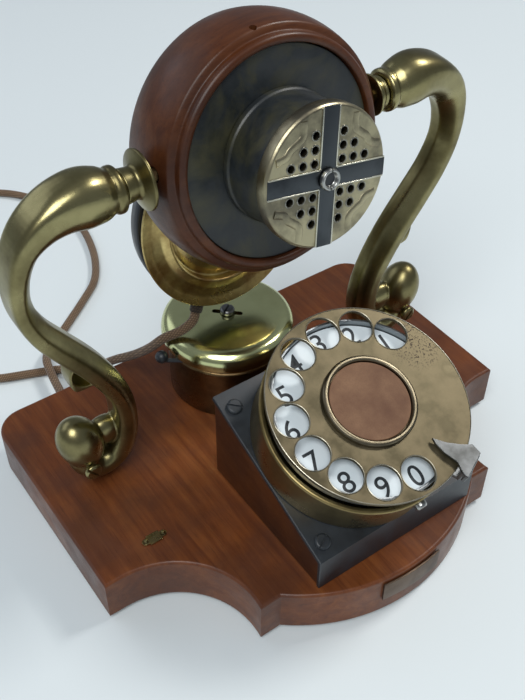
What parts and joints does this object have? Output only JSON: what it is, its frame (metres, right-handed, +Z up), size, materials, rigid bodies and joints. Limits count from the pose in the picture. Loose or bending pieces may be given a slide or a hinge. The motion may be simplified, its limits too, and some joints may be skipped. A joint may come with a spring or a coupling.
{
  "type": "table telephone with dial, hinged drum transmitter and hung watch-case receiver",
  "caption": "Wooden-based table telephone: finger dial on a slope, bell, two swan-neck brass arms, tilting drum mouthpiece and a round receiver hung behind.",
  "frame": {"origin": "centre of the footprint's bounding box, on the surface that the felt feet stand on", "axes": "+X to the telephone's own right as seen from the front, +Y to the back, +Z up"},
  "size_m": [0.2168, 0.353, 0.1938],
  "materials": {
    "mahogany": "polished, worn",
    "brass": "polished, tarnished",
    "aged_brass": "matt, pitted",
    "nickel": "bright, worn",
    "steel": "satin",
    "black_metal": "satin",
    "ebonite": "dulled gloss",
    "enamel": "gloss",
    "leather": "worn",
    "braid": "woven cotton",
    "felt": "felt"
  },
  "bodies": {
    "base": {"base_board": "mahogany", "base_cover": "black_metal", "cover_screw_1": "steel", "cover_screw_2": "steel", "cover_screw_3": "steel", "cover_screw_4": "steel", "foot_1": "felt", "foot_2": "felt", "foot_3": "felt", "foot_4": "felt", "name_plate": "brass", "name_pin_1": "brass", "name_pin_2": "brass", "front_plate": "black_metal", "base_gland": "ebonite", "wedge_block": "mahogany", "wedge_plate": "black_metal", "plate_screw_1": "black_metal", "plate_screw_2": "black_metal", "plate_screw_3": "black_metal", "plate_screw_4": "black_metal", "dial_case": "aged_brass", "dial_frame": "black_metal", "number_plate": "enamel", "finger_stop": "nickel", "case_screw": "nickel", "ringer_can": "brass", "gong_post": "steel", "gong": "brass", "gong_screw": "steel", "hammer_post": "steel", "arm_left": "brass", "arm_screw_left": "brass", "ferrule_left": "brass", "pivot_pin_left": "steel", "arm_right": "brass", "arm_screw_right": "brass", "ferrule_right": "brass", "pivot_pin_right": "steel", "receiver_cord": "braid", "base_cord": "braid", "cord_coil": "braid"},
    "wheel": {"finger_wheel": "aged_brass", "hub_ring": "nickel", "centre_card": "leather", "dial_shaft": "steel"},
    "governor": {"governor": "steel"},
    "hammer": {"hammer": "black_metal", "hammer_rod": "steel"},
    "drum": {"drum_shell": "mahogany", "drum_back": "ebonite", "face_plate": "ebonite", "capsule": "aged_brass", "mouth_boss": "ebonite", "grille": "nickel", "grille_nut": "nickel"},
    "hook": {"hook_lever": "brass"},
    "receiver": {"receiver_shell": "brass", "receiver_cap": "ebonite", "receiver_gland": "ebonite"}
  },
  "joints": [
    {"name": "drum_tilt", "type": "hinge", "parent": "base", "child": "drum", "pos_m": [0, 0.018, 0.1558], "axis": [1, 0, 0], "range_deg": [-12, 22], "deforming": ["receiver_cord"]},
    {"name": "dial_spin", "type": "hinge", "parent": "base", "child": "wheel", "pos_m": [0.0022, -0.0433, 0.0782], "axis": [0, 0.3697, -0.9291], "range_deg": [0, 330], "stiffness_Nm_per_rad": 0.004, "springref_deg": -57.3},
    {"name": "governor_spin", "type": "hinge", "parent": "base", "child": "governor", "pos_m": [0.0211, -0.0433, 0.0782], "axis": [0, 0.3697, -0.9291], "range_deg": [-1700, 20]},
    {"name": "hook_switch", "type": "hinge", "parent": "drum", "child": "hook", "pos_m": [0, 0.03228, 0.15326], "axis": [1, 0, 0], "range_deg": [0, 6], "stiffness_Nm_per_rad": 0.05, "springref_deg": 17.19},
    {"name": "receiver_lift", "type": "slide", "parent": "hook", "child": "receiver", "axis": [0, 0.9905, 0.1374], "range_m": [0, 0.06]},
    {"name": "hammer_swing", "type": "hinge", "parent": "base", "child": "hammer", "pos_m": [-0.014, 0.03, 0.0484], "axis": [0, 0, 1], "range_deg": [-5, 5], "stiffness_Nm_per_rad": 0.002}
  ],
  "couplings": [
    {"joint": "governor_spin", "follows": "dial_spin", "ratio": -5}
  ]
}
